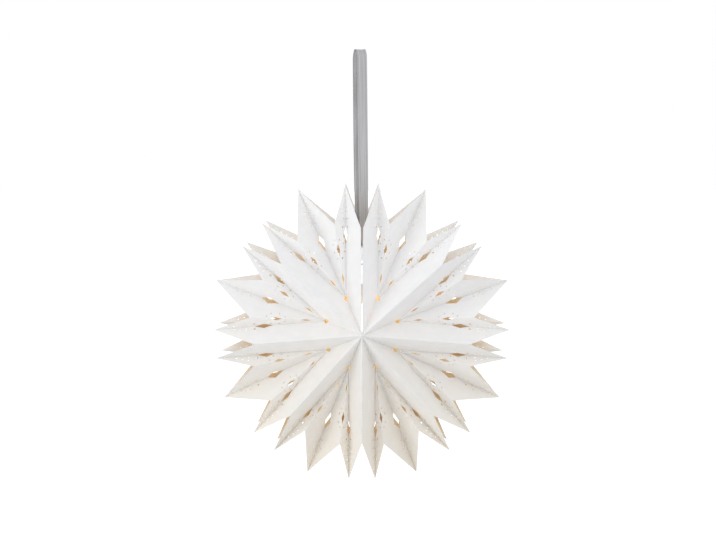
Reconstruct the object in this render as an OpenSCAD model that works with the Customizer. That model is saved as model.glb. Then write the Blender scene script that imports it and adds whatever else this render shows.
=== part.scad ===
// Paper star lantern. Eight folded paper bags stand side by side round one axis, which runs
// from the front centre to the rear centre. Each bag gives three points, so the star has 24.
// The axis is Y with the front at -Y, Z is up, and the origin is the centre of the star.

/* [Star] */
// Distance from the front centre to the rear centre
star_depth = 208; // [180:1:230]
// Length of the ridges between neighbouring bags
ridge_len = 160; // [145:1:175]
// Distance of the middle points from the star's axis
middle_reach = 235; // [215:1:250]
// Gap between a front middle point and its rear one
tip_gap = 6; // [4:1:12]
// Length of the valley fold that ends in a side point
side_fold_len = 170; // [155:1:185]
// Length of the ridge between a side point and the middle point
inner_ridge_len = 116; // [106:1:120]
// How far the bags are spread towards the seam, in degrees
fan_shift = 4.5; // [0:0.5:6]
// Half of the angle left open at the seam
seam_deg = 0.6; // [0.5:0.1:1.2]

/* [Folds] */
// Width of the flat strip beside each ridge
strip_w = 52; // [48:1:56]
// Angle between a ridge and the slanting fold in the middle of a bag
slant_deg = 45; // [43:1:48]
// Angle of the narrow panel between a side fold and its inner ridge
narrow_deg = 13.5; // [12:0.5:16]
// Thickness of the paper
paper_t = 0.4; // [0.3:0.1:0.6]

/* [Bag sides] */
// Distance from the axis to the outer edge of a glued bag side
side_reach = 125; // [118:1:135]
// Length of the straight part of that edge
side_edge_len = 90; // [70:1:110]
// Radius of the hollow left round the lamp
hollow_r = 75; // [70:1:78]
// Length of that hollow along the axis
hollow_len = 96; // [84:1:100]

/* [Cut-outs] */
// Diameter of the hole where the folds of a bag meet
centre_hole_d = 6; // [5:0.5:8]
// Length of the lozenge windows on the inner ridges, along the fold
window_len = 20; // [16:1:24]
// Width of those windows in the flat sheet
window_w = 10; // [7:0.5:12]
// Length of the lozenge windows on the side valleys
side_window_len = 26; // [18:1:26]
// Width of those windows in the flat sheet
side_window_w = 12; // [8:0.5:12]
// Length of the lozenge windows on the middle valleys
middle_window_len = 29; // [20:1:30]
// Width of those windows in the flat sheet
middle_window_w = 19; // [10:0.5:20]
// Length of the slim leaf slots
slot_len = 20; // [14:1:22]
// Width of the slim leaf slots in the flat sheet
slot_w = 6; // [4:0.5:6]
// Distance of the slots from the meeting point of the folds
slot_at = 31; // [28:1:34]
// Distance of the windows on the inner ridges from that point
ridge_window_at = 76; // [70:1:82]
// Distance of the windows on the valley folds from that point
valley_window_at = 94; // [88:1:104]
// Radius of the ring of dots round each window on an inner ridge
ring_r = 15.5; // [14:0.5:16]
// Diameter of the dots in that ring
ring_dot_d = 2.6; // [2:0.2:3.2]
// Diameter of the largest dot near each point
tip_dot_d = 3.6; // [3:0.2:4]
// Diameter of the smaller dots near each point
small_dot_d = 2.2; // [1.8:0.2:2.6]

/* [Lamp] */
// Radius of the round light
globe_r = 25; // [18:1:30]
// Radius of the battery case on top of it
case_r = 18; // [14:1:22]
// Height of the battery case
case_h = 26; // [20:1:30]
// Depth to which the globe is set into the case
globe_inset = 5; // [3:1:6]
// Thickness of the hanging lug on the case
lug_t = 3; // [2:0.5:4]
// Radius of the rounded lug
lug_r = 5; // [4:0.5:6]
// Radius of the hole in the lug
lug_hole_r = 2.2; // [1.8:0.1:2.5]
// Middle radius of the wire ring that carries the lamp
ring_mid_r = 17; // [14:1:20]
// Diameter of the ring's wire
wire_d = 1.6; // [1.2:0.2:2]
// Radius of the holes for the ring in the two sides at the seam
ring_hole_r = 2; // [1.6:0.1:2.4]
// Height of the ring's top above the centre of the star
ring_top = 100; // [96:1:104]
// Clearance between a hung piece and its seat
seat_gap = 0.1; // [0.05:0.05:0.2]

/* [Ribbon] */
// Width of the ribbon
ribbon_w = 15; // [10:1:18]
// Thickness of the ribbon
ribbon_t = 0.5; // [0.4:0.1:0.6]

/* [Hidden] */

bag_count = 8;
even_deg = 360 / bag_count;
half_depth = star_depth / 2;
// Cutting prisms reach this far to both sides of a panel's outer face
cut_reach = 2 * paper_t;
// A window on a fold runs this far past the fold line, to clear the mitre of the two panels
fold_overcut = 2.5 * paper_t;
dot_faces = 14;
paper_colour = [0.95, 0.94, 0.92];

// Dots of a ring lie at these angles from the fold, on each of its two panels
ring_angles = [24, 66, 114, 156];
// Dots near a point: distance back from the point, distance from the fold, diameter
tip_dots = [[62, 7, tip_dot_d], [50, 4.5, small_dot_d], [49, 11, small_dot_d],
            [40, 7.5, small_dot_d], [31, 4, small_dot_d]];

// Centre line of the ribbon, from one glued end over the fold of the loop to the other
ribbon_route = [
    [0.8, 0, 106], [1, 0, 124], [1.5, -0.5, 145], [2, -1, 165], [2, -1.5, 185],
    [1.5, -2, 230], [1, -3, 290], [0.5, -4.5, 350], [0, -6, 405], [-0.2, -6, 416],
    [-1, -5, 421], [-2, -2.8, 424.6], [-3.2, 0, 426], [-4.4, 2.8, 424.6], [-5.4, 5, 421],
    [-6.2, 6, 416], [-6.5, 6, 405], [-6, 4.5, 350], [-5.5, 3, 290], [-4.5, 2, 230],
    [-3.5, 1.5, 185], [-2.5, 1, 165], [-1.5, 0.5, 145], [-1, 0, 124], [-0.8, 0, 106]];
// Between these heights the ribbon makes a quarter turn, from along the seam to facing front
turn_from = 124;
turn_to = 185;

function unit(v) = v / norm(v);
function across(v) = [-v.x, v.y, v.z];
function to_rear(v) = [v.x, -v.y, v.z];

// The vector with the given distances along three directions
function meet(a, b, c, along_a, along_b, along_c) =
    (along_a * cross(b, c) + along_b * cross(c, a) + along_c * cross(a, b)) / (a * cross(b, c));

// The direction at one angle to a and another to b, on the front side of both
function between(a, b, deg_a, deg_b) =
    let (k = a * b,
         n = unit(cross(a, b)),
         s = (cos(deg_a) - k * cos(deg_b)) / (1 - k * k),
         t = (cos(deg_b) - k * cos(deg_a)) / (1 - k * k),
         rest = 1 - s * s - t * t - 2 * s * t * k)
    s * a + t * b + sqrt(max(rest, 0)) * n;

// Angle of the boundary before bag i, clockwise from the seam at the top, seen from the front
function boundary(i) = i == 0 ? seam_deg
    : i == bag_count ? 360 - seam_deg
    : even_deg * i + fan_shift * sin(even_deg * i);
function bag_middle(i) = (boundary(i) + boundary(i + 1)) / 2;
function bag_half(i) = (boundary(i + 1) - boundary(i)) / 2;

// Directions of one quarter of a bag that opens by a to each side. X runs across the bag,
// Y to the rear and Z away from the axis: the ridge, the slanting fold, the middle valley
// and the inner ridge, and the outward normals of the three panels and of the bag side.
function ridge_dir(a) = [sin(a), 0, cos(a)];
function slant_dir(a) =
    let (lean = acos(cos(slant_deg) / cos(a))) [0, sin(lean), cos(lean)];
function apex() = [0, -half_depth, 0];
function knot(a) = apex() + strip_w / sin(slant_deg) * slant_dir(a);
function middle_tip() = [0, -tip_gap / 2, middle_reach];
function middle_dir(a) = unit(middle_tip() - knot(a));
function inner_dir(a) =
    between(ridge_dir(a), middle_dir(a), narrow_deg, slant_deg - narrow_deg);
function broad_normal(a) = unit(cross(ridge_dir(a), slant_dir(a)));
function narrow_normal(a) = unit(cross(ridge_dir(a), inner_dir(a)));
function middle_normal(a) = unit(cross(inner_dir(a), middle_dir(a)));
function side_normal(a) = [cos(a), 0, -sin(a)];

// Outer corners of the front right quarter: apex, knot, middle tip, ridge end, side tip,
// inner ridge end and the corner of the bag side
function quarter_outer(a) = [
    apex(),
    knot(a),
    middle_tip(),
    apex() + ridge_len * ridge_dir(a),
    knot(a) + side_fold_len * ridge_dir(a),
    knot(a) + inner_ridge_len * inner_dir(a),
    [0, -side_edge_len / 2, 0] + side_reach * ridge_dir(a)];

// Steps from those corners to the inner face of the paper, mitred at every fold
function quarter_steps(a) =
    let (t = -paper_t, u = ridge_dir(a), broad = broad_normal(a),
         narrow = narrow_normal(a), middle = middle_normal(a), side = side_normal(a))
    [meet(broad, across(broad), side, t, t, t),
     meet(broad, narrow, [1, 0, 0], t, t, 0),
     meet(middle, across(middle), middle_dir(a), t, t, 0),
     meet(broad, side, u, t, t, 0),
     meet(broad, narrow, u, t, t, 0),
     meet(narrow, middle, inner_dir(a), t, t, 0),
     t * side];

// Corners of a whole layer: front middle, front right, front left, then the same at the rear
function layer_points(q) =
    let (middle = [for (i = [0 : 2]) q[i]], right = [for (i = [3 : 6]) q[i]],
         left = [for (p = right) across(p)], front = concat(middle, right, left))
    concat(front, [for (p = front) to_rear(p)]);

half_points = 11;
layer_size = 2 * half_points;
// Place of corner j in the layers: left is 1 on the left, rear is 1 at the rear, inner is 1 inside
function spot(j, left, rear, inner) =
    inner * layer_size + rear * half_points + (j < 3 ? j : j + 4 * left);

function turned(face, flip) = flip ? [for (i = [len(face) - 1 : -1 : 0]) face[i]] : face;
function rim(a, b, left, rear) =
    [[spot(b, left, rear, 0), spot(a, left, rear, 0), spot(a, left, rear, 1)],
     [spot(b, left, rear, 0), spot(a, left, rear, 1), spot(b, left, rear, 1)]];

// Triangles of a quarter's outer face, and the edges of it that lie open
quarter_faces = [[0, 3, 4], [0, 4, 1], [1, 4, 5], [1, 5, 2], [0, 6, 3]];
quarter_edges = [[3, 4], [4, 5], [5, 2], [6, 3]];

function quarter_skin(left, rear) =
    let (flip = left != rear)
    [for (inner = [0, 1], f = quarter_faces)
        turned([for (j = f) spot(j, left, rear, inner)], flip != (inner == 1)),
     for (e = quarter_edges, f = rim(e[0], e[1], left, rear)) turned(f, flip)];

// The middle of a bag side runs from front to rear
function side_skin(left) =
    let (f0 = spot(0, left, 0, 0), r0 = spot(0, left, 1, 0), r6 = spot(6, left, 1, 0),
         f6 = spot(6, left, 0, 0), deep = layer_size)
    [for (f = [[f0, r0, r6], [f0, r6, f6], [f6, r6, r6 + deep], [f6, r6 + deep, f6 + deep],
               [r6 + deep, r0 + deep, f0 + deep], [f6 + deep, r6 + deep, f0 + deep]])
        turned(f, left == 1)];

// The folded sheet before its cut-outs
module folded_sheet(a) {
    outer = quarter_outer(a);
    inner = outer + quarter_steps(a);
    skin = concat([for (left = [0, 1], rear = [0, 1]) each quarter_skin(left, rear)],
                  side_skin(0), side_skin(1));
    polyhedron(points = concat(layer_points(outer), layer_points(inner)),
               faces = [for (f = skin) turned(f, true)]);
}

// Places children on a panel: x runs from a corner along a fold, y into the panel
module on_panel(corner, along, normal, inward) {
    y = inward * cross(normal, along);
    multmatrix([[along.x, y.x, normal.x, corner.x],
                [along.y, y.y, normal.y, corner.y],
                [along.z, y.z, normal.z, corner.z],
                [0, 0, 0, 1]])
        children();
}

// One panel's half of a lozenge that lies across a fold
module half_window(at, length, width) {
    translate([at, 0, -cut_reach])
        linear_extrude(2 * cut_reach)
            polygon([[-length / 2, 0], [0, width / 2], [length / 2, 0],
                     [length / 2 - fold_overcut, -fold_overcut],
                     [fold_overcut - length / 2, -fold_overcut]]);
}

module dot(x, y, d) {
    translate([x, y, -cut_reach]) cylinder(d = d, h = 2 * cut_reach, $fn = dot_faces);
}

// One panel's half of the ring of dots round a window
module half_ring(at) {
    for (deg = ring_angles) dot(at + ring_r * cos(deg), ring_r * sin(deg), ring_dot_d);
}

// Dots beside the fold that ends in a point
module point_dots(fold_len) {
    for (d = tip_dots) dot(fold_len - d[0], d[1], d[2]);
}

// Cut-outs of the front right quarter, each in the panel that it is punched through
module quarter_cuts(a) {
    u = ridge_dir(a);
    k = knot(a);
    middle_len = norm(middle_tip() - k);
    on_panel(k, u, broad_normal(a), -1) {
        half_window(valley_window_at, side_window_len, side_window_w);
        point_dots(side_fold_len);
    }
    on_panel(k, u, narrow_normal(a), 1) {
        half_window(valley_window_at, side_window_len, side_window_w);
        point_dots(side_fold_len);
    }
    on_panel(k, inner_dir(a), narrow_normal(a), -1) {
        half_window(slot_at, slot_len, slot_w);
        half_window(ridge_window_at, window_len, window_w);
        half_ring(ridge_window_at);
    }
    on_panel(k, inner_dir(a), middle_normal(a), 1) {
        half_window(slot_at, slot_len, slot_w);
        half_window(ridge_window_at, window_len, window_w);
        half_ring(ridge_window_at);
    }
    on_panel(k, middle_dir(a), middle_normal(a), -1) {
        half_window(valley_window_at, middle_window_len, middle_window_w);
        point_dots(middle_len);
    }
}

module knot_hole(a) {
    translate(knot(a)) rotate([90, 0, 0])
        cylinder(d = centre_hole_d, h = 2 * centre_hole_d, center = true, $fn = 24);
}

// One bag, opened by a to each side of its middle
module bag_shape(a) {
    difference() {
        folded_sheet(a);
        rotate([90, 0, 0]) cylinder(r = hollow_r, h = hollow_len, center = true, $fn = 96);
        for (rear = [0, 1]) mirror([0, rear, 0]) {
            knot_hole(a);
            for (left = [0, 1]) mirror([left, 0, 0]) quarter_cuts(a);
        }
    }
}

// Centre height of the ring and of the two holes that it hangs in
ring_z = ring_top - ring_mid_r;
seam_hole_z = ring_top - wire_d / 2 + ring_hole_r - seat_gap;

module bag(i) {
    color(paper_colour) difference() {
        rotate([0, bag_middle(i), 0]) bag_shape(bag_half(i));
        if (i == 0 || i == bag_count - 1)
            translate([0, 0, seam_hole_z]) rotate([0, 90, 0])
                cylinder(r = ring_hole_r, h = lug_r + lug_r, center = true, $fn = 32);
    }
}

// The lamp hangs from the bottom of the ring by its lug
lug_hole_z = ring_z - ring_mid_r + wire_d / 2 + seat_gap - lug_hole_r;
case_top = lug_hole_z - lug_r;
globe_z = case_top - case_h + globe_inset - sqrt(globe_r * globe_r - case_r * case_r);

module lamp_case() {
    color("white") difference() {
        union() {
            translate([0, 0, case_top - case_h]) cylinder(r = case_r, h = case_h, $fn = 96);
            translate([0, 0, lug_hole_z]) rotate([0, 90, 0])
                cylinder(r = lug_r, h = lug_t, center = true, $fn = 48);
            translate([-lug_t / 2, -lug_r, case_top - 1]) cube([lug_t, 2 * lug_r, lug_r + 1]);
        }
        translate([0, 0, lug_hole_z]) rotate([0, 90, 0])
            cylinder(r = lug_hole_r, h = 2 * lug_t, center = true, $fn = 32);
        translate([0, 0, globe_z]) sphere(r = globe_r, $fn = 96);
    }
}

module lamp_globe() {
    color([1, 0.86, 0.6]) translate([0, 0, globe_z]) sphere(r = globe_r, $fn = 96);
}

module lamp_ring() {
    color("silver") translate([0, 0, ring_z]) rotate([90, 0, 0])
        rotate_extrude($fn = 96) translate([ring_mid_r, 0]) circle(d = wire_d, $fn = 24);
}

// Flat section of the ribbon at point i of its route, with its corners taken off
function ribbon_turn(z) = 90 * min(max((z - turn_from) / (turn_to - turn_from), 0), 1);
function ribbon_ring(i) =
    let (last = len(ribbon_route) - 1, p = ribbon_route[i],
         run = unit(ribbon_route[min(i + 1, last)] - ribbon_route[max(i - 1, 0)]),
         face = ribbon_turn(p.z),
         guess = [sin(face), cos(face), 0],
         wide = unit(guess - (guess * run) * run),
         thin = cross(run, wide),
         w = ribbon_w / 2, t = ribbon_t / 2)
    [for (c = [[w, t / 2], [w - t, t], [t - w, t], [-w, t / 2],
               [-w, -t / 2], [t - w, -t], [w - t, -t], [w, -t / 2]])
        p + c.x * wide + c.y * thin];

module ribbon() {
    n = len(ribbon_route);
    sides = 8;
    points = [for (i = [0 : n - 1]) each ribbon_ring(i)];
    // Both broad faces are split along the same diagonal, so the twist keeps its thickness
    walls = [for (i = [0 : n - 2], j = [0 : sides - 1])
        let (b = i * sides, k = (j + 1) % sides, c = b + sides)
        each (j < sides / 2
            ? [[b + j, b + k, c + k], [b + j, c + k, c + j]]
            : [[b + j, b + k, c + j], [b + k, c + k, c + j]])];
    first = [for (j = [sides - 1 : -1 : 0]) j];
    end = [for (j = [0 : sides - 1]) (n - 1) * sides + j];
    color([0.62, 0.62, 0.63])
        polyhedron(points = points, faces = [for (f = concat(walls, [first, end])) turned(f, true)]);
}

for (i = [0 : bag_count - 1])
    bag(i);
lamp_case();
lamp_globe();
lamp_ring();
ribbon();
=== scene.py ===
import math

import bmesh
import bpy
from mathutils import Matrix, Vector


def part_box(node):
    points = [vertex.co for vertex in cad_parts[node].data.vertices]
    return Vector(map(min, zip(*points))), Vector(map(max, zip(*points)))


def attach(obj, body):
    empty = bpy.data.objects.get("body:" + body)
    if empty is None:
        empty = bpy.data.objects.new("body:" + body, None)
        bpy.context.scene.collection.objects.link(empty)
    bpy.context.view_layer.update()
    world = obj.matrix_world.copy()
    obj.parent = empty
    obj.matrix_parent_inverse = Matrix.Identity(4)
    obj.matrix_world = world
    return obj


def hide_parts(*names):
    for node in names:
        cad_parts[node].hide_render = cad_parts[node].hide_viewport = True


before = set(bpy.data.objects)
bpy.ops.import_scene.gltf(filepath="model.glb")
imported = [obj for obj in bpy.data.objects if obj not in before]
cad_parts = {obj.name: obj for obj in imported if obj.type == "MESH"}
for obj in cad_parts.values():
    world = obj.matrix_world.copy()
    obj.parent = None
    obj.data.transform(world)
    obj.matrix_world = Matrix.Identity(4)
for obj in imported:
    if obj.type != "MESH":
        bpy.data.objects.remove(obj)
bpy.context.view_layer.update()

# Setting. A plain pale floor far below the hanging star, and white all round it.
# The floor takes the star's soft shadow, and only the camera and mirror-like surfaces
# see it and the world as plain white.


def node(tree, kind, **values):
    made = tree.nodes.new(kind)
    for key, value in values.items():
        setattr(made, key, value)
    return made


def plain_view_factor(tree):
    """1 where the camera or a glossy or clear surface looks, otherwise 0."""
    path = node(tree, "ShaderNodeLightPath")
    first = node(tree, "ShaderNodeMath", operation="MAXIMUM")
    second = node(tree, "ShaderNodeMath", operation="MAXIMUM")
    tree.links.new(path.outputs["Is Camera Ray"], first.inputs[0])
    tree.links.new(path.outputs["Is Glossy Ray"], first.inputs[1])
    tree.links.new(first.outputs[0], second.inputs[0])
    tree.links.new(path.outputs["Is Transmission Ray"], second.inputs[1])
    return second.outputs[0]


floor_z = -0.62
floor_size = 60
bpy.ops.object.select_all(action="DESELECT")
bpy.ops.mesh.primitive_plane_add(size=floor_size, location=(0, 0, floor_z))
floor = bpy.context.object
floor.name = "floor"
bpy.ops.object.transform_apply(location=True, rotation=True, scale=True)
floor_paint = bpy.data.materials.new("pale_floor")
floor_paint.use_nodes = True
tree = floor_paint.node_tree
tree.nodes.clear()
floor_out = node(tree, "ShaderNodeOutputMaterial")
floor_sum = node(tree, "ShaderNodeAddShader")
floor_matt = node(tree, "ShaderNodeBsdfDiffuse")
floor_matt.inputs["Color"].default_value = (0.82, 0.82, 0.82, 1)
floor_white = node(tree, "ShaderNodeEmission")
floor_white.inputs["Color"].default_value = (1, 1, 1, 1)
floor_lift = node(tree, "ShaderNodeMath", operation="MULTIPLY")
floor_lift.inputs[1].default_value = 0.55
tree.links.new(plain_view_factor(tree), floor_lift.inputs[0])
tree.links.new(floor_lift.outputs[0], floor_white.inputs["Strength"])
tree.links.new(floor_matt.outputs[0], floor_sum.inputs[0])
tree.links.new(floor_white.outputs[0], floor_sum.inputs[1])
tree.links.new(floor_sum.outputs[0], floor_out.inputs["Surface"])
floor.data.materials.append(floor_paint)

world = bpy.data.worlds.new("white_room")
bpy.context.scene.world = world
world.use_nodes = True
tree = world.node_tree
tree.nodes.clear()
world_out = node(tree, "ShaderNodeOutputWorld")
world_mix = node(tree, "ShaderNodeMixShader")
room_light = node(tree, "ShaderNodeBackground")
room_light.inputs["Color"].default_value = (0.97, 0.98, 1.0, 1)
room_light.inputs["Strength"].default_value = 0.92
room_white = node(tree, "ShaderNodeBackground")
room_white.inputs["Color"].default_value = (1, 1, 1, 1)
room_white.inputs["Strength"].default_value = 1.0
tree.links.new(plain_view_factor(tree), world_mix.inputs["Fac"])
tree.links.new(room_light.outputs[0], world_mix.inputs[1])
tree.links.new(room_white.outputs[0], world_mix.inputs[2])
tree.links.new(world_mix.outputs[0], world_out.inputs["Surface"])


def soft_light(name, place, aim, size, power, tint):
    light = bpy.data.lights.new(name, "AREA")
    light.size = size
    light.energy = power
    light.color = tint
    lamp = bpy.data.objects.new(name, light)
    bpy.context.collection.objects.link(lamp)
    lamp.location = place
    lamp.rotation_euler = (Vector(aim) - Vector(place)).to_track_quat("-Z", "Y").to_euler()


soft_light("key_from_left", (-1.9, -1.5, -0.1), (0, 0, 0), 1.2, 9, (1, 0.985, 0.97))
soft_light("fill_from_front", (0.6, -3.0, 1.0), (0, 0, 0), 2.0, 9, (0.98, 0.98, 1))
soft_light("warm_from_below", (0.1, -1.2, -1.7), (0, 0, -0.1), 1.6, 3, (1, 0.86, 0.68))

# Camera. It stands straight in front of the star and a little above it, at the distance
# where the rear points show just inside the front ones as in the photograph.
mm_per_pixel = 1.53
frame_w_px = 716
camera_distance = 3.17
camera_rise_deg = 5.4
star_right_px = 4.0
star_down_px = 59.5

pixel = mm_per_pixel / 1000
rise = math.radians(camera_rise_deg)
camera_data = bpy.data.cameras.new("camera")
camera = bpy.data.objects.new("camera", camera_data)
bpy.context.collection.objects.link(camera)
camera.location = (0, -camera_distance * math.cos(rise), camera_distance * math.sin(rise))
camera_aim = Vector((-star_right_px * pixel, 0, star_down_px * pixel))
camera.rotation_euler = (camera_aim - camera.location).to_track_quat("-Z", "Y").to_euler()
camera_data.sensor_width = 36
camera_data.lens = camera_data.sensor_width * camera_distance / (frame_w_px * pixel)
bpy.context.scene.camera = camera
bpy.context.scene.view_settings.view_transform = "Standard"

# Folded bags. Each is one sheet of stiff white card, cut, punched, creased and glued into a
# bag, and the eight bags are glued side to side. The card is matt with a faint tooth. Its colour
# is made warmer towards the bottom of the star by a painted glow, in place of the lamp's light
# shining through it.
card = bpy.data.materials.new("white_card")
card.use_nodes = True
tree = card.node_tree
card_skin = tree.nodes["Principled BSDF"]
card_place = node(tree, "ShaderNodeTexCoord")


def card_noise(scale, detail):
    noise = node(tree, "ShaderNodeTexNoise")
    noise.inputs["Scale"].default_value = scale
    noise.inputs["Detail"].default_value = detail
    tree.links.new(card_place.outputs["Object"], noise.inputs["Vector"])
    return noise


card_cloud = card_noise(55, 4)
card_tone = node(tree, "ShaderNodeValToRGB")
card_tone.color_ramp.elements[0].position = 0.35
card_tone.color_ramp.elements[0].color = (0.9, 0.895, 0.885, 1)
card_tone.color_ramp.elements[1].position = 0.7
card_tone.color_ramp.elements[1].color = (0.93, 0.925, 0.918, 1)
tree.links.new(card_cloud.outputs["Fac"], card_tone.inputs["Fac"])
# Painted glow: from this height down the card's colour is multiplied warmer, standing in for the
# lamp's light shining through the card.
painted_glow_from_z = 0.05
painted_glow_to_z = -0.2
card_height = node(tree, "ShaderNodeSeparateXYZ")
card_low = node(tree, "ShaderNodeMapRange")
card_low.inputs["From Min"].default_value = painted_glow_from_z
card_low.inputs["From Max"].default_value = painted_glow_to_z
card_painted_glow = node(tree, "ShaderNodeMix", data_type="RGBA", blend_type="MULTIPLY")
card_painted_glow.inputs["B"].default_value = (0.97, 0.925, 0.85, 1)
tree.links.new(card_place.outputs["Object"], card_height.inputs["Vector"])
tree.links.new(card_height.outputs["Z"], card_low.inputs["Value"])
tree.links.new(card_low.outputs["Result"], card_painted_glow.inputs["Factor"])
tree.links.new(card_tone.outputs["Color"], card_painted_glow.inputs["A"])
tree.links.new(card_painted_glow.outputs["Result"], card_skin.inputs["Base Color"])

card_tooth = card_noise(1500, 3)
card_rough = node(tree, "ShaderNodeMapRange")
card_rough.inputs["To Min"].default_value = 0.72
card_rough.inputs["To Max"].default_value = 0.9
tree.links.new(card_tooth.outputs["Fac"], card_rough.inputs["Value"])
tree.links.new(card_rough.outputs["Result"], card_skin.inputs["Roughness"])

card_swell = card_noise(14, 2)
swell_bump = node(tree, "ShaderNodeBump")
swell_bump.inputs["Strength"].default_value = 0.25
swell_bump.inputs["Distance"].default_value = 0.004
tooth_bump = node(tree, "ShaderNodeBump")
tooth_bump.inputs["Strength"].default_value = 0.18
tooth_bump.inputs["Distance"].default_value = 0.0002
tree.links.new(card_swell.outputs["Fac"], swell_bump.inputs["Height"])
tree.links.new(swell_bump.outputs["Normal"], tooth_bump.inputs["Normal"])
tree.links.new(card_tooth.outputs["Fac"], tooth_bump.inputs["Height"])
tree.links.new(tooth_bump.outputs["Normal"], card_skin.inputs["Normal"])
card_skin.inputs["Subsurface Weight"].default_value = 0.12
card_skin.inputs["Subsurface Radius"].default_value = (1.0, 0.62, 0.34)
card_skin.inputs["Subsurface Scale"].default_value = 0.0016
card_skin.inputs["Specular IOR Level"].default_value = 0.25

# The back of the card, inside the bags, has the globe's warm light painted into its colour: pale
# round the globe, amber in the pockets, and white again towards the upper points, where daylight
# falls in.
painted_glow_drop = 0.045
painted_glow_reach = 0.23
card_back = card.copy()
card_back.name = "painted_glow_card_back"
tree = card_back.node_tree
back_place = node(tree, "ShaderNodeTexCoord")
back_flat = node(tree, "ShaderNodeVectorMath", operation="MULTIPLY")
back_flat.inputs[1].default_value = (1, 0, 1)
back_drop = node(tree, "ShaderNodeVectorMath", operation="ADD")
back_drop.inputs[1].default_value = (0, 0, painted_glow_drop)
back_reach = node(tree, "ShaderNodeVectorMath", operation="LENGTH")
back_share = node(tree, "ShaderNodeMapRange")
back_share.inputs["From Max"].default_value = painted_glow_reach
back_painted_glow = node(tree, "ShaderNodeValToRGB")
back_painted_glow.color_ramp.elements[0].position = 0.28
back_painted_glow.color_ramp.elements[0].color = (0.92, 0.84, 0.66, 1)
back_painted_glow.color_ramp.elements[1].position = 0.9
back_painted_glow.color_ramp.elements[1].color = (0.9, 0.89, 0.87, 1)
for place, colour in ((0.45, (0.8, 0.66, 0.46, 1)), (0.7, (0.74, 0.58, 0.38, 1))):
    back_painted_glow.color_ramp.elements.new(place).color = colour
tree.links.new(back_place.outputs["Object"], back_flat.inputs[0])
tree.links.new(back_flat.outputs[0], back_drop.inputs[0])
tree.links.new(back_drop.outputs[0], back_reach.inputs[0])
tree.links.new(back_reach.outputs["Value"], back_share.inputs["Value"])
tree.links.new(back_share.outputs["Result"], back_painted_glow.inputs["Fac"])
tree.links.new(back_painted_glow.outputs["Color"], tree.nodes["Principled BSDF"].inputs["Base Color"])

# Faces inside the bags get the card back with the painted lamp glow; outer faces get the plain
# card.
bag_count = 8
fan_shift_deg = 4.5
merge_gap = 0.000002
pleat_lean = 0.15
side_slack = 0.0001
for number in range(1, bag_count + 1):
    cad_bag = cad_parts[f"bag_{number}"]
    bag = bpy.data.objects.new(f"folded_bag_{number}", cad_bag.data.copy())
    bpy.context.collection.objects.link(bag)
    bpy.ops.object.select_all(action="DESELECT")
    bag.select_set(True)
    bpy.context.view_layer.objects.active = bag
    bpy.ops.object.mode_set(mode="EDIT")
    bpy.ops.mesh.select_all(action="SELECT")
    bpy.ops.mesh.remove_doubles(threshold=merge_gap)
    bpy.ops.object.mode_set(mode="OBJECT")
    bpy.ops.mesh.customdata_custom_splitnormals_clear()
    bpy.ops.object.shade_flat()
    bag.data.materials.clear()
    bag.data.materials.append(card)
    bag.data.materials.append(card_back)
    even_deg = [360 / bag_count * side for side in (number - 1, number)]
    spread_deg = [deg + fan_shift_deg * math.sin(math.radians(deg)) for deg in even_deg]
    middle = math.radians(sum(spread_deg) / 2)
    across_bag = Vector((math.cos(middle), 0, -math.sin(middle)))
    for face in bag.data.polygons:
        if abs(face.normal.y) > pleat_lean:
            inside = face.normal.y * face.center.y < 0
        else:
            inside = face.normal.dot(across_bag) * face.center.dot(across_bag) < -side_slack
        face.material_index = 1 if inside else 0
    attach(bag, "root")
    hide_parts(f"bag_{number}")

# Light globe. A frosted plastic shade, screwed onto the battery case, round a few warm
# diodes. It is the only light inside the star.
globe_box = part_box("lamp_globe")
globe_r = (globe_box[1][0] - globe_box[0][0]) / 2
globe_z = (globe_box[0][2] + globe_box[1][2]) / 2
bpy.ops.object.select_all(action="DESELECT")
bpy.ops.mesh.primitive_uv_sphere_add(
    segments=64, ring_count=32, radius=globe_r, location=(0, 0, globe_z)
)
globe = bpy.context.object
globe.name = "frosted_globe"
bpy.ops.object.transform_apply(location=True, rotation=True, scale=True)
bpy.ops.object.shade_smooth()
globe_glow = bpy.data.materials.new("warm_frosted_plastic")
globe_glow.use_nodes = True
glow_skin = globe_glow.node_tree.nodes["Principled BSDF"]
glow_skin.inputs["Base Color"].default_value = (0.95, 0.86, 0.7, 1)
glow_skin.inputs["Roughness"].default_value = 0.45
glow_skin.inputs["Emission Color"].default_value = (1.0, 0.74, 0.41, 1)
glow_skin.inputs["Emission Strength"].default_value = 16.0
globe.data.materials.append(globe_glow)
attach(globe, "root")
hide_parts("lamp_globe")

# Battery case. A round plastic tub with a screwed lid under its shoulder, a small slide
# switch on its side, and a moulded lug on top that the wire ring goes through.
case_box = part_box("lamp_case")
case_r = (case_box[1][0] - case_box[0][0]) / 2
case_bottom = case_box[0][2]
case_h = 0.026
lug_hole_r = 0.0022
lug_r = 0.005
lug_t = 0.003
lug_sink = 0.0004
lug_edge_r = 0.0004
lug_z = case_box[1][2] - lug_r
case_middle = case_bottom + case_h / 2
lid_line_z = case_bottom + 0.008
groove_floor = 0.0003
groove_edge = 0.0006
groove_share = 0.955
case_edge_r = 0.0014
bpy.ops.object.select_all(action="DESELECT")
bpy.ops.mesh.primitive_cylinder_add(
    vertices=96, radius=case_r, depth=case_h, location=(0, 0, case_middle)
)
case = bpy.context.object
case.name = "battery_case"
bpy.ops.object.transform_apply(location=True, rotation=True, scale=True)
bpy.ops.object.mode_set(mode="EDIT")
for height in (-groove_edge, -groove_floor, groove_floor, groove_edge):
    bpy.ops.mesh.select_all(action="SELECT")
    bpy.ops.mesh.bisect(plane_co=(0, 0, lid_line_z + height), plane_no=(0, 0, 1))
bpy.ops.mesh.select_all(action="DESELECT")
case_mesh = bmesh.from_edit_mesh(case.data)
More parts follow.
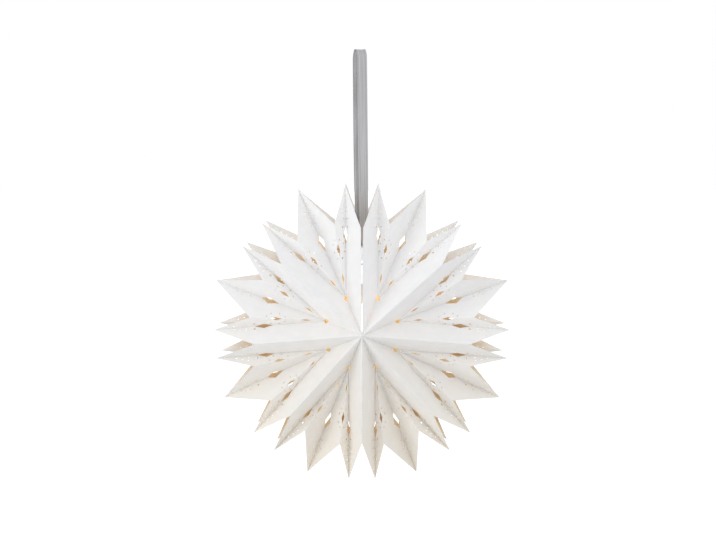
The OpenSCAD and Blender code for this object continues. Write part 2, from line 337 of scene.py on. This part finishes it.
for corner in case_mesh.verts:
    corner.select = abs(corner.co.z - lid_line_z) < (groove_floor + groove_edge) / 2
case_mesh.select_flush_mode()
bmesh.update_edit_mesh(case.data)
bpy.ops.transform.resize(
    value=(groove_share, groove_share, 1), center_override=(0, 0, lid_line_z), orient_type="GLOBAL"
)
bpy.ops.object.mode_set(mode="OBJECT")
case_edge = case.modifiers.new("moulded_edge", "BEVEL")
case_edge.width = case_edge_r
case_edge.segments = 4
case_edge.limit_method = "ANGLE"
case_edge.angle_limit = math.radians(80)
bpy.ops.object.modifier_apply(modifier=case_edge.name)

bpy.ops.mesh.primitive_cylinder_add(
    vertices=64, radius=lug_r, depth=lug_t, location=(0, 0, lug_z),
    rotation=(0, math.radians(90), 0),
)
lug = bpy.context.object
bpy.ops.object.transform_apply(location=True, rotation=True, scale=True)
bpy.ops.mesh.primitive_cube_add(
    size=1,
    location=(0, 0, lug_z - lug_r / 2 - lug_sink),
    scale=(lug_t, 2 * lug_r, lug_r + 2 * lug_sink),
)
lug_foot = bpy.context.object
bpy.ops.object.transform_apply(location=True, rotation=True, scale=True)
bpy.ops.mesh.primitive_cylinder_add(
    vertices=48, radius=lug_hole_r, depth=3 * lug_t, location=(0, 0, lug_z),
    rotation=(0, math.radians(90), 0),
)
lug_drill = bpy.context.object
bpy.ops.object.transform_apply(location=True, rotation=True, scale=True)


def carve(piece, tool, operation):
    """Joins a tool shape to a piece, or cuts it out, and deletes the tool."""
    bpy.ops.object.select_all(action="DESELECT")
    piece.select_set(True)
    bpy.context.view_layer.objects.active = piece
    cut = piece.modifiers.new("cut", "BOOLEAN")
    cut.operation = operation
    cut.solver = "EXACT"
    cut.object = tool
    bpy.ops.object.modifier_apply(modifier=cut.name)
    bpy.data.objects.remove(tool, do_unlink=True)


carve(lug, lug_foot, "UNION")
carve(lug, lug_drill, "DIFFERENCE")
lug_edge = lug.modifiers.new("moulded_edge", "BEVEL")
lug_edge.width = lug_edge_r
lug_edge.segments = 2
lug_edge.limit_method = "ANGLE"
lug_edge.angle_limit = math.radians(60)
bpy.ops.object.modifier_apply(modifier=lug_edge.name)
lug.name = "case_lug"

switch_w = 0.0085
switch_t = 0.0022
switch_h = 0.004
switch_sink = 0.0002
switch_edge_r = 0.0006
switch_z = case_middle + switch_h
bpy.ops.mesh.primitive_cube_add(
    size=1, location=(0, case_r - switch_sink, switch_z), scale=(switch_w, switch_t, switch_h)
)
switch = bpy.context.object
switch.name = "slide_switch"
bpy.ops.object.transform_apply(location=True, rotation=True, scale=True)
switch_edge = switch.modifiers.new("moulded_edge", "BEVEL")
switch_edge.width = switch_edge_r
switch_edge.segments = 3
bpy.ops.object.modifier_apply(modifier=switch_edge.name)

case_plastic = bpy.data.materials.new("white_moulded_plastic")
case_plastic.use_nodes = True
tree = case_plastic.node_tree
case_skin = tree.nodes["Principled BSDF"]
case_skin.inputs["Base Color"].default_value = (0.84, 0.83, 0.8, 1)
case_place = node(tree, "ShaderNodeTexCoord")
case_grain = node(tree, "ShaderNodeTexNoise")
case_grain.inputs["Scale"].default_value = 900
case_rough = node(tree, "ShaderNodeMapRange")
case_rough.inputs["To Min"].default_value = 0.38
case_rough.inputs["To Max"].default_value = 0.55
tree.links.new(case_place.outputs["Object"], case_grain.inputs["Vector"])
tree.links.new(case_grain.outputs["Fac"], case_rough.inputs["Value"])
tree.links.new(case_rough.outputs["Result"], case_skin.inputs["Roughness"])
switch_plastic = bpy.data.materials.new("grey_switch_plastic")
switch_plastic.use_nodes = True
switch_skin = switch_plastic.node_tree.nodes["Principled BSDF"]
switch_skin.inputs["Base Color"].default_value = (0.2, 0.2, 0.2, 1)
switch_skin.inputs["Roughness"].default_value = 0.5
for piece, plastic in ((case, case_plastic), (lug, case_plastic), (switch, switch_plastic)):
    piece.data.materials.clear()
    piece.data.materials.append(plastic)
    bpy.ops.object.select_all(action="DESELECT")
    piece.select_set(True)
    bpy.context.view_layer.objects.active = piece
    bpy.ops.object.shade_smooth_by_angle(angle=math.radians(35))
    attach(piece, "root")
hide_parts("lamp_case")

# Wire ring. Spring wire bent into a split ring, which is twisted open, passed through the
# case's lug and through two punched holes in the card beside the seam, and closed again.
ring_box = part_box("lamp_ring")
wire_r = (ring_box[1][1] - ring_box[0][1]) / 2
ring_mid_r = (ring_box[1][0] - ring_box[0][0]) / 2 - wire_r
ring_z = (ring_box[1][2] + ring_box[0][2]) / 2
split_half_deg = 2.6
bpy.ops.object.select_all(action="DESELECT")
bpy.ops.mesh.primitive_torus_add(
    major_segments=144, minor_segments=20, major_radius=ring_mid_r, minor_radius=wire_r,
    location=(0, 0, ring_z), rotation=(math.radians(90), 0, 0),
)
ring = bpy.context.object
ring.name = "split_wire_ring"
bpy.ops.object.transform_apply(location=True, rotation=True, scale=True)
bpy.ops.object.mode_set(mode="EDIT")
bpy.ops.mesh.select_all(action="DESELECT")
ring_mesh = bmesh.from_edit_mesh(ring.data)
for face in ring_mesh.faces:
    middle = face.calc_center_median()
    face.select = abs(math.degrees(math.atan2(middle.z - ring_z, middle.x))) < split_half_deg
bmesh.update_edit_mesh(ring.data)
bpy.ops.mesh.delete(type="FACE")
bpy.ops.mesh.select_all(action="DESELECT")
bpy.ops.mesh.select_mode(type="EDGE")
bpy.ops.mesh.select_non_manifold()
bpy.ops.mesh.fill_holes(sides=0)
bpy.ops.mesh.select_mode(type="VERT")
bpy.ops.object.mode_set(mode="OBJECT")
bpy.ops.object.shade_smooth_by_angle(angle=math.radians(50))
ring_steel = bpy.data.materials.new("drawn_steel_wire")
ring_steel.use_nodes = True
tree = ring_steel.node_tree
ring_skin = tree.nodes["Principled BSDF"]
ring_skin.inputs["Base Color"].default_value = (0.6, 0.6, 0.61, 1)
ring_skin.inputs["Metallic"].default_value = 1.0
ring_place = node(tree, "ShaderNodeTexCoord")
ring_marks = node(tree, "ShaderNodeTexNoise")
ring_marks.inputs["Scale"].default_value = 700
ring_rough = node(tree, "ShaderNodeMapRange")
ring_rough.inputs["To Min"].default_value = 0.24
ring_rough.inputs["To Max"].default_value = 0.42
tree.links.new(ring_place.outputs["Object"], ring_marks.inputs["Vector"])
tree.links.new(ring_marks.outputs["Fac"], ring_rough.inputs["Value"])
tree.links.new(ring_rough.outputs["Result"], ring_skin.inputs["Roughness"])
ring.data.materials.append(ring_steel)
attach(ring, "root")
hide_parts("lamp_ring")

# Ribbon. One length of grey satin ribbon, its ends glued to both sides of the seam. It stands
# edge on there, turns to face the front above the star, and folds over at the top as a loop.
ribbon_route = [
    (0.8, 0, 106), (1, 0, 124), (1.5, -0.5, 145), (2, -1, 165), (2, -1.5, 185),
    (1.5, -2, 230), (1, -3, 290), (0.5, -4.5, 350), (0, -6, 405), (-0.2, -6, 416),
    (-1, -5, 421), (-2, -2.8, 424.6), (-3.2, 0, 426), (-4.4, 2.8, 424.6), (-5.4, 5, 421),
    (-6.2, 6, 416), (-6.5, 6, 405), (-6, 4.5, 350), (-5.5, 3, 290), (-4.5, 2, 230),
    (-3.5, 1.5, 185), (-2.5, 1, 165), (-1.5, 0.5, 145), (-1, 0, 124), (-0.8, 0, 106),
]
ribbon_route = [Vector(point) / 1000 for point in ribbon_route]
ribbon_w = 0.015
ribbon_t = 0.0003
ribbon_step = 0.0022
ribbon_columns = 12
turn_from = 0.124
turn_to = 0.185
cup_depth = 0.0009
cup_middle = 0.33
ripple_depth = 0.0005
ripple_length = 0.085
ripple_slant = 1.1
glued_len = 0.03
ease_len = 0.05
fold_len = 0.03


def curve_point(route, at):
    """A point of the smooth curve through the route, at a share of its steps."""
    span = min(int(at), len(route) - 2)
    t = at - span
    a = route[max(span - 1, 0)]
    b = route[span]
    c = route[span + 1]
    d = route[min(span + 2, len(route) - 1)]
    return 0.5 * (2 * b + (c - a) * t + (2 * a - 5 * b + 4 * c - d) * t ** 2
                  + (3 * b - a - 3 * c + d) * t ** 3)


fine_steps = 40
fine_last = fine_steps * (len(ribbon_route) - 1)
fine = [curve_point(ribbon_route, i / fine_steps) for i in range(fine_last + 1)]
ribbon_run = [0.0]
for before, after in zip(fine, fine[1:]):
    ribbon_run.append(ribbon_run[-1] + (after - before).length)
ribbon_len = ribbon_run[-1]
ribbon_rows = round(ribbon_len / ribbon_step)


def ribbon_at(distance):
    """Centre, direction and width direction of the ribbon, this far along it."""
    for i in range(1, len(fine)):
        if ribbon_run[i] >= distance:
            break
    share = (distance - ribbon_run[i - 1]) / max(ribbon_run[i] - ribbon_run[i - 1], 1e-9)
    centre = fine[i - 1].lerp(fine[i], min(share, 1))
    run = (fine[min(i + 3, len(fine) - 1)] - fine[max(i - 4, 0)]).normalized()
    turn = math.radians(90 * min(max((centre.z - turn_from) / (turn_to - turn_from), 0), 1))
    wide = Vector((math.sin(turn), math.cos(turn), 0))
    wide = (wide - wide.dot(run) * run).normalized()
    return centre, run, wide


bpy.ops.object.select_all(action="DESELECT")
bpy.ops.mesh.primitive_grid_add(
    x_subdivisions=ribbon_columns, y_subdivisions=ribbon_rows, size=2, calc_uvs=True
)
ribbon = bpy.context.object
ribbon.name = "satin_ribbon"
for corner in ribbon.data.vertices:
    across = corner.co.x
    along = (corner.co.y + 1) / 2 * ribbon_len
    centre, run, wide = ribbon_at(min(along, ribbon_len))
    thin = run.cross(wide)
    free = min(along, ribbon_len - along)
    ease = min(max((free - glued_len) / ease_len, 0), 1)
    fold = min(abs(along - ribbon_len / 2) / fold_len, 1)
    cup = cup_depth * (across * across - cup_middle) * ease * fold
    wave = math.sin(2 * math.pi * along / ripple_length + ripple_slant * across)
    ripple = ripple_depth * wave * ease
    corner.co = centre + wide * (across * ribbon_w / 2) + thin * (cup + ripple * fold)
ribbon.data.update()
satin_uv = ribbon.data.uv_layers[0].name
ribbon_body = ribbon.modifiers.new("cloth_thickness", "SOLIDIFY")
ribbon_body.thickness = ribbon_t
ribbon_body.offset = 0
bpy.ops.object.modifier_apply(modifier=ribbon_body.name)
bpy.ops.object.shade_smooth_by_angle(angle=math.radians(50))

satin = bpy.data.materials.new("grey_satin")
satin.use_nodes = True
tree = satin.node_tree
satin_skin = tree.nodes["Principled BSDF"]
satin_place = node(tree, "ShaderNodeUVMap", uv_map=satin_uv)
satin_split = node(tree, "ShaderNodeSeparateXYZ")
tree.links.new(satin_place.outputs["UV"], satin_split.inputs["Vector"])


def satin_stretch(across, along):
    """Noise on the ribbon's own length and width."""
    stretch = node(tree, "ShaderNodeMapping")
    stretch.inputs["Scale"].default_value = (across, along, 1)
    noise = node(tree, "ShaderNodeTexNoise")
    noise.inputs["Scale"].default_value = 1
    noise.inputs["Detail"].default_value = 3
    tree.links.new(satin_place.outputs["UV"], stretch.inputs["Vector"])
    tree.links.new(stretch.outputs["Vector"], noise.inputs["Vector"])
    return noise


# Streaks of lighter and darker grey along the ribbon: partly the threads' own tone, partly a
# painted sheen standing in for the satin's highlights.
satin_threads_and_sheen = satin_stretch(9, 3)
satin_tone = node(tree, "ShaderNodeValToRGB")
satin_tone.color_ramp.elements[0].position = 0.3
satin_tone.color_ramp.elements[0].color = (0.3, 0.3, 0.305, 1)
satin_tone.color_ramp.elements[1].position = 0.72
satin_tone.color_ramp.elements[1].color = (0.55, 0.55, 0.56, 1)
tree.links.new(satin_threads_and_sheen.outputs["Fac"], satin_tone.inputs["Fac"])

# The selvedge is a denser, slightly darker cord of threads along both edges.
satin_off = node(tree, "ShaderNodeMath", operation="SUBTRACT")
satin_off.inputs[1].default_value = 0.5
tree.links.new(satin_split.outputs["X"], satin_off.inputs[0])
satin_far = node(tree, "ShaderNodeMath", operation="ABSOLUTE")
tree.links.new(satin_off.outputs[0], satin_far.inputs[0])
satin_edge = node(tree, "ShaderNodeMapRange")
satin_edge.inputs["From Min"].default_value = 0.445
satin_edge.inputs["From Max"].default_value = 0.46
tree.links.new(satin_far.outputs[0], satin_edge.inputs["Value"])
satin_mix = node(tree, "ShaderNodeMix", data_type="RGBA", blend_type="MULTIPLY")
satin_mix.inputs["B"].default_value = (0.72, 0.72, 0.73, 1)
tree.links.new(satin_edge.outputs["Result"], satin_mix.inputs["Factor"])
tree.links.new(satin_tone.outputs["Color"], satin_mix.inputs["A"])
tree.links.new(satin_mix.outputs["Result"], satin_skin.inputs["Base Color"])

satin_weave = node(tree, "ShaderNodeTexWave", wave_type="BANDS", bands_direction="Y")
weave_scale = node(tree, "ShaderNodeMapping")
weave_scale.inputs["Scale"].default_value = (1, 300, 1)
satin_weave.inputs["Scale"].default_value = 1
tree.links.new(satin_place.outputs["UV"], weave_scale.inputs["Vector"])
tree.links.new(weave_scale.outputs["Vector"], satin_weave.inputs["Vector"])
weave_bump = node(tree, "ShaderNodeBump")
weave_bump.inputs["Strength"].default_value = 0.12
weave_bump.inputs["Distance"].default_value = 0.0001
edge_bump = node(tree, "ShaderNodeBump")
edge_bump.inputs["Strength"].default_value = 0.6
edge_bump.inputs["Distance"].default_value = 0.0002
tree.links.new(satin_weave.outputs["Fac"], weave_bump.inputs["Height"])
tree.links.new(weave_bump.outputs["Normal"], edge_bump.inputs["Normal"])
tree.links.new(satin_edge.outputs["Result"], edge_bump.inputs["Height"])
tree.links.new(edge_bump.outputs["Normal"], satin_skin.inputs["Normal"])
satin_skin.inputs["Roughness"].default_value = 0.36
satin_skin.inputs["Specular IOR Level"].default_value = 0.6
satin_skin.inputs["Sheen Weight"].default_value = 0.25
satin_skin.inputs["Sheen Roughness"].default_value = 0.4
ribbon.data.materials.append(satin)
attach(ribbon, "root")
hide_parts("ribbon")
